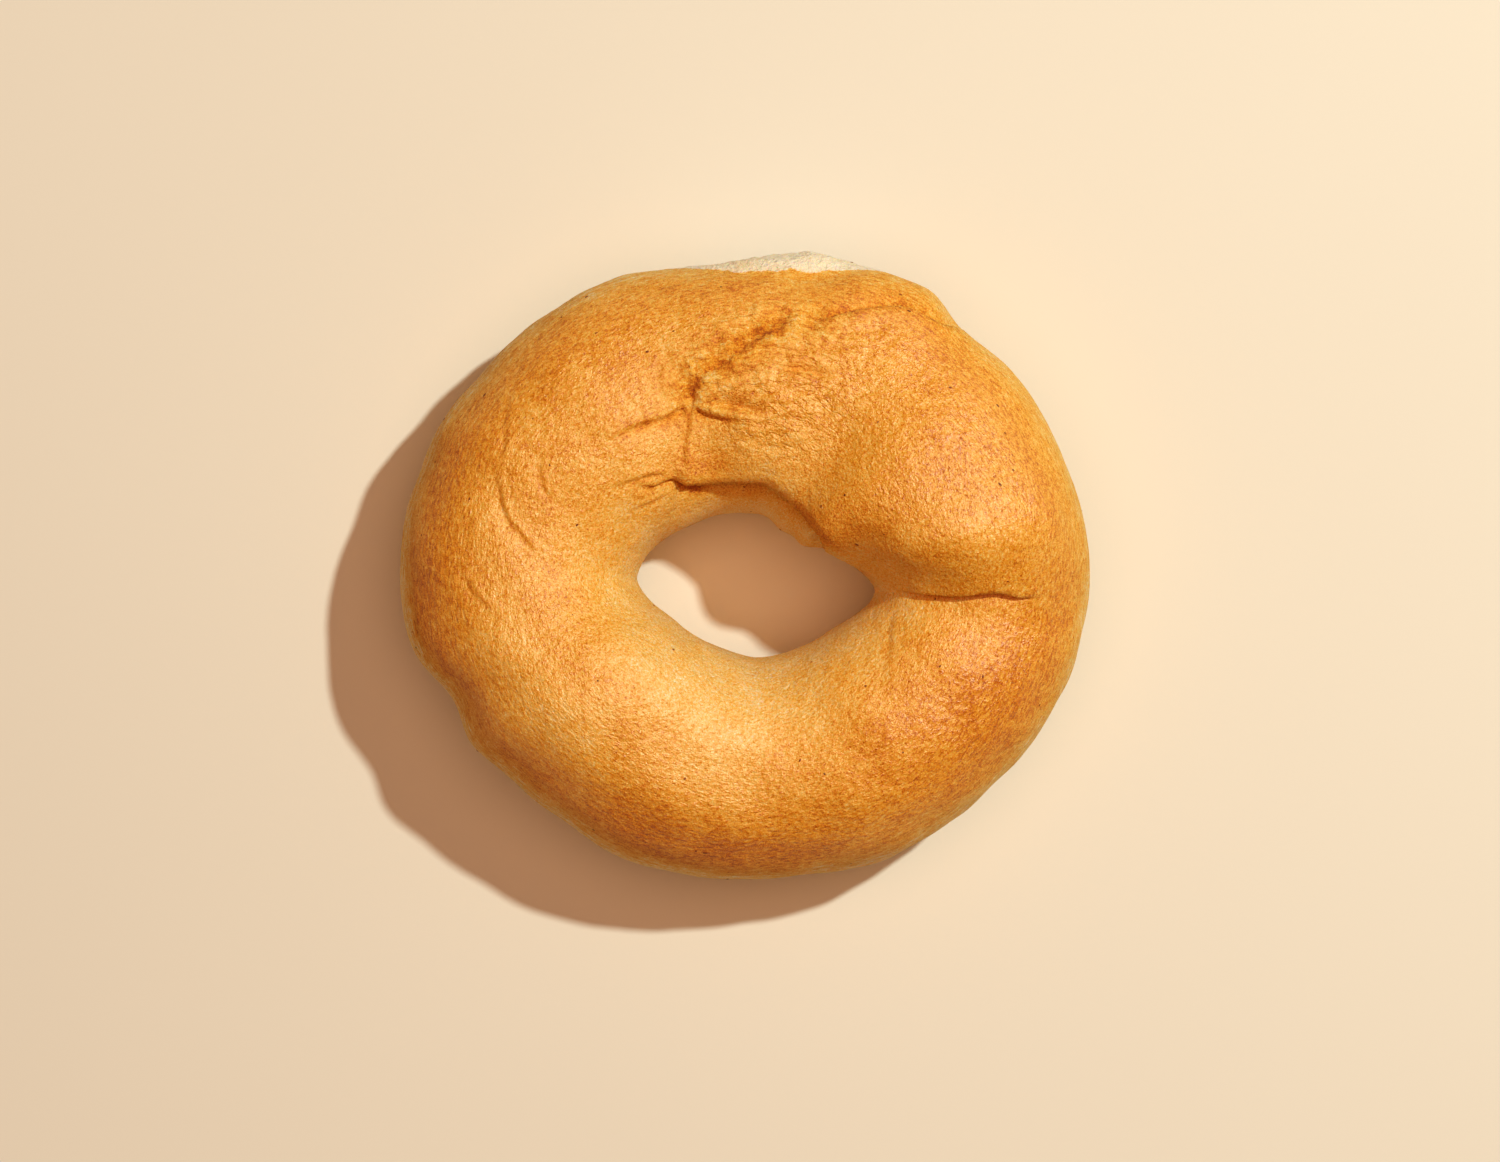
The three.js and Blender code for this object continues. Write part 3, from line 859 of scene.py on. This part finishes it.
# The bake: an even start, plus each effect times its amount. More is browner, and some effects are painted shade.
bake = total(
    0.53,
    (clouds, 0.14),
    (mottles, 0.14),
    (grains, 0.46),
    (streaks, 0.50),
    (shoulder, 0.04),
    (inside, -0.20),
    (inside * low_wall, 0.08),
    (pores, 0.14),
    (rim_band, -0.20),
    (rim_band * rim_lines, -0.60),
    # Painted shade along the creases, patchy where the smears are.
    (crease, 0.02),
    (crease * smears, 0.24),
    # Painted shade under the lips: a wide fade, and a darker band near the edge.
    (painted_shade_under_folds, 0.26),
    (smooth(under, 0.28, 0.46), 0.34),
    (brim, 0.05),
)
base_bake = total(0.56, (clouds, 0.12), (mottles, 0.12), (grains, 0.2))
# The scar: brown smears and mottling, with painted shade in its hollows and painted light on its raised crags.
scar_bake_and_relief_shade = total(0.03, (smears, 0.17), (smooth(raised, -0.5, 0.5), -0.34), (mottles, 0.22))
# The pressed skin: painted shade along its wrinkle lines, and pale patches of painted sheen between them.
pressed_painted_shade_and_sheen = total(lines * 0.04, (smooth(wrinkles, 0.5, 0.65), -0.06))
bake = mix(base, bake, base_bake, "FLOAT") + scar * scar_bake_and_relief_shade + pressed * pressed_painted_shade_and_sheen
for (at_round, at_about), (far_round, far_about), more in BAKE_AND_PAINTED_LIGHT_PATCHES:
    in_rounds = angle_past(around, at_round, far_round)
    in_abouts = (about - at_about) / far_about
    bake = bake + bell(in_rounds) * bell(in_abouts) * more
crumb_bake = total(0.03, (clouds, 0.06), (mottles, 0.10), (grains, 0.06))

# The torn patch has a tattered edge, so noise moves it in and out.
tatters = noise(place, 0.22, 4.0, 0.65) - 0.5
crumb = smooth(bare + tatters * 1.1 + mottles * 0.15, 0.30, 0.40)
shade = mix(crumb, ramp(bake, BAKE_STOPS), ramp(crumb_bake, BAKE_STOPS))
feed(tree, finish.inputs["Base Color"], shade)

CRUMB_ROUGHNESS = 0.85
dull = 1.0 - smooth(about, 20.0, 60.0) + inside * 0.6 + painted_shade_under_folds + crease + scar * 0.8
rough = total(0.32, (streaks, -0.16), (clouds, 0.04), (apply("MINIMUM", dull, 1.0), 0.66))
feed(tree, finish.inputs["Roughness"], mix(crumb, rough, CRUMB_ROUGHNESS, "FLOAT"))

# The finest relief is too small for the net, so it is bump. Its heights are in millimetres.
skin_height = total(
    noise(place, 4.5, 2.0, 0.6) * 0.08,
    (strands, 0.18),
    (noise(place, 0.7, 3.0, 0.55), 0.34),
    (lines, -0.03),
    (lines * pressed, -0.06),
    (rim_lines * rim_band, 0.22),
    (pores, -0.05),
)
crumb_height = noise(place, 0.9, 3.0, 0.65) * 0.8
height = mix(crumb, skin_height, crumb_height, "FLOAT") * MM
bump = add_node(tree, "ShaderNodeBump", {"Height": height, "Distance": 1.0, "Strength": 1.0})
feed(tree, finish.inputs["Normal"], bump)

finish.distribution = "GGX"
for name, value in {
    "Specular IOR Level": 1.0,
    "Subsurface Weight": 0.2,
    "Subsurface Radius": (1.0, 0.35, 0.08),  # red light travels furthest through the crust
    "Subsurface Scale": 0.006,
}.items():
    finish.inputs[name].default_value = value
print("the crust has", len(tree.nodes), "nodes")

# %% [markdown]
# ## Bran flecks
#
# Flour carries a few dark specks of bran. Each is a flattened crumb, one to four tenths of a millimetre wide and up
# to about twice as long, half sunk into the skin. Nodes scatter them on the finished crust, so that each lies on the
# surface and turns with it. The lowest two millimetres are left free, because the bagel stands there.

# %% Flecks scattered on the skin
fleck_material = bpy.data.materials.new("bran")
fleck_material.use_nodes = True
tree = fleck_material.node_tree
place = add_node(tree, "ShaderNodeTexCoord", out="Object") * (1 / MM)
pattern = use_group(tree, mottle_group, {"Place": place, "Mottle": 3.0})
shade = mix(smooth(pattern["Mottles"], -0.4, 0.4), colour(96, 44, 18), colour(150, 78, 30))
feed(tree, tree.nodes["Principled BSDF"].inputs["Base Color"], shade)
feed(tree, tree.nodes["Principled BSDF"].inputs["Roughness"], 0.6 + pattern["Clouds"] * 0.1)

FLECK_SIZES = {"Flecks per Square Metre": 5200.0, "Smallest": 0.06 * MM, "Largest": 0.21 * MM}  # sizes are radii
LOWEST_FLECK = 2 * MM
LONGEST, FLATNESS = 2.2, 0.5  # as shares of a fleck's size
SPOT_SEED, SIZE_SEED, LENGTH_SEED = 4, 9, 11
fleck_tree, given, out = new_group(
    "Bran Flecks",
    "GeometryNodeTree",
    {"Skin": "Geometry", **FLECK_SIZES, "Bran": "Material"},
    {"Geometry": "Geometry"},
)
tree = fleck_tree
height = separate(add_node(tree, "GeometryNodeInputPosition"))[2]
spots = add_node(tree, "GeometryNodeDistributePointsOnFaces", {
    "Mesh": given["Skin"],
    "Selection": apply("GREATER_THAN", height, LOWEST_FLECK),
    "Density": given["Flecks per Square Metre"],
    "Seed": SPOT_SEED,
})
turn = Field(tree, spots.socket.node.outputs["Rotation"])
fleck = add_node(tree, "GeometryNodeMeshIcoSphere", {"Radius": 1.0, "Subdivisions": 1})


def random_number(low, high, seed):
    return add_node(tree, "FunctionNodeRandomValue", {2: low, 3: high, "Seed": seed}, 1, data_type="FLOAT")


size = random_number(given["Smallest"], given["Largest"], SIZE_SEED)
lengthen = random_number(1.0, LONGEST, LENGTH_SEED)
scale = combine(tree, size * lengthen, size, size * FLATNESS)
feeds = {"Points": spots, "Instance": fleck, "Rotation": turn, "Scale": scale}
placed = add_node(tree, "GeometryNodeInstanceOnPoints", feeds)
placed = add_node(tree, "GeometryNodeRealizeInstances", {"Geometry": placed})
placed = add_node(tree, "GeometryNodeSetMaterial", {"Geometry": placed, "Material": given["Bran"]})
feed(tree, out["Geometry"], placed)

fleck_mesh = run_tree(fleck_tree, bagel, {**FLECK_SIZES, "Bran": fleck_material})
flecks = add_object("bran_flecks", fleck_mesh)
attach(flecks, "root")
print("flecks:", len(fleck_mesh.polygons), "faces")

# %% [markdown]
# ## The table, the light and the camera
#
# The bagel lies on plain warm paper. One small hard lamp stands to the right and behind, some 55 degrees up, and
# draws the shadow to the lower left. A wide softbox overhead and the room fill the shadows with warm light. A
# contrasty look deepens the browns. The camera looks straight down from 0.75 m.

# %% The paper
paper_material = bpy.data.materials.new("warm_paper")
paper_material.use_nodes = True
tree = paper_material.node_tree
place = add_node(tree, "ShaderNodeTexCoord", out="Object") * (1 / MM)
shade = mix(noise(place, 0.006, 2.0), colour(229, 227, 222), colour(233, 231, 226))
feed(tree, tree.nodes["Principled BSDF"].inputs["Base Color"], shade)
tree.nodes["Principled BSDF"].inputs["Roughness"].default_value = 0.9

PAPER_HALF = 3.0
paper_mesh = bpy.data.meshes.new("paper")
paper_corners = [(PAPER_HALF * x, PAPER_HALF * y, 0) for x, y in ((-1, -1), (1, -1), (1, 1), (-1, 1))]
paper_mesh.from_pydata(paper_corners, [], [(0, 1, 2, 3)])
paper_mesh.materials.append(paper_material)
paper = add_object("paper", paper_mesh)
paper.location.z = -0.05 * MM  # a hair below, so that paper and base don't share a plane
paper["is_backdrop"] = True

# %% Lamp and fill
LAMP_AZIMUTH, LAMP_ELEVATION, LAMP_DISTANCE = math.radians(36.9), math.radians(54.8), 1.15
SOFTBOX_HEIGHT = 1.3
ROOM_LIGHT, ROOM_STRENGTH = (1.0, 0.57, 0.33, 1.0), 0.1


def disk_light(name, place, width, watts, tint):
    """A round lamp. It shines straight down until it is turned."""
    light = add_object(name, bpy.data.lights.new(name, "AREA"))
    light.location = place
    light.data.shape = "DISK"
    light.data.size = width
    light.data.energy = watts
    light.data.color = tint
    return light


towards_lamp = Vector((
    math.cos(LAMP_ELEVATION) * math.cos(LAMP_AZIMUTH),
    math.cos(LAMP_ELEVATION) * math.sin(LAMP_AZIMUTH),
    math.sin(LAMP_ELEVATION),
))
lamp = disk_light("lamp", towards_lamp * LAMP_DISTANCE, 0.05, 8.4, (0.95, 1.0, 0.85))
lamp.rotation_euler = towards_lamp.to_track_quat("Z", "Y").to_euler()
disk_light("softbox", (0, 0, SOFTBOX_HEIGHT), 1.2, 6.5, (1.0, 0.56, 0.33))

world = bpy.data.worlds.new("room")
world.use_nodes = True
background = world.node_tree.nodes["Background"]
background.inputs["Color"].default_value = ROOM_LIGHT
background.inputs["Strength"].default_value = ROOM_STRENGTH
bpy.context.scene.world = world
bpy.context.scene.view_settings.view_transform = "Standard"
bpy.context.scene.view_settings.look = "Medium High Contrast"

# %% The camera
camera = add_object("camera", bpy.data.cameras.new("camera"))
CAMERA_HEIGHT = 0.75
camera.location = (0.8 * MM, -2.4 * MM, CAMERA_HEIGHT)
camera.data.sensor_width = 36  # sensor and lens are in millimetres
camera.data.lens = 110.5
camera.data.clip_start = 0.01
bpy.context.scene.camera = camera

# %% [markdown]
# ## Measure and finish
#
# The skin should match the solid model's box to a tenth of a millimetre. We print both boxes, so that they can be
# compared.

# %% Print the sizes
low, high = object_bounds()
sizes = {"cad": [list(cad_low), list(cad_high)], "visual": [list(low), list(high)]}
for name, (a, b) in (("solid", (cad_low, cad_high)), ("visual", (low, high))):
    print(name, "box in mm:", [round(value / MM, 2) for value in (*a, *b)])
